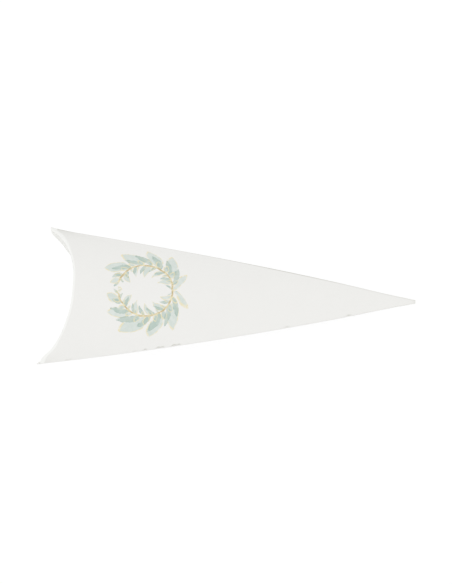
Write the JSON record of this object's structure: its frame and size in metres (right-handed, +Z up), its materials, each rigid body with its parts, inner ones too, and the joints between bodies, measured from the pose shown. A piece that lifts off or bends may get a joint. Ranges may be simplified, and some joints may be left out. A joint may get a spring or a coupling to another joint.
{
  "type": "paper favor cone",
  "caption": "Long flat cone of folded white card for small party favors, bowed open at its wide end, where curved hinged flaps close it, and tapering flat to a blunt tip.",
  "frame": {"origin": "bottom centre of the box round the cone as it lies on its back panel", "axes": "+X from the mouth to the tip, +Y across the panels towards the folded side edge, +Z up, out of the front panel"},
  "size_m": [0.2, 0.0768, 0.0377],
  "materials": {
    "printed_card": "matt, faintly mottled, with a soft watercolour print",
    "white_card": "matt, faintly mottled",
    "flap_card": "matt",
    "dried_glue": "dull, yellowish"
  },
  "bodies": {
    "sleeve": {"front_panel": "printed_card", "back_panel": "white_card", "glue_flap": "flap_card", "seam_adhesive": "dried_glue"},
    "front_flap": {"front_closure_flap": "flap_card"},
    "back_flap": {"back_closure_flap": "flap_card"}
  },
  "joints": [
    {"name": "front_flap_fold", "type": "hinge", "parent": "sleeve", "child": "front_flap", "pos_m": [-0.09816, 0, 0.02053], "axis": [0, -1, 0], "range_deg": [0, 90], "deforming": ["front_closure_flap"]},
    {"name": "back_flap_fold", "type": "hinge", "parent": "sleeve", "child": "back_flap", "pos_m": [-0.09783, 0, 0.02048], "axis": [0, 1, 0], "range_deg": [0, 90], "deforming": ["back_closure_flap"]}
  ]
}
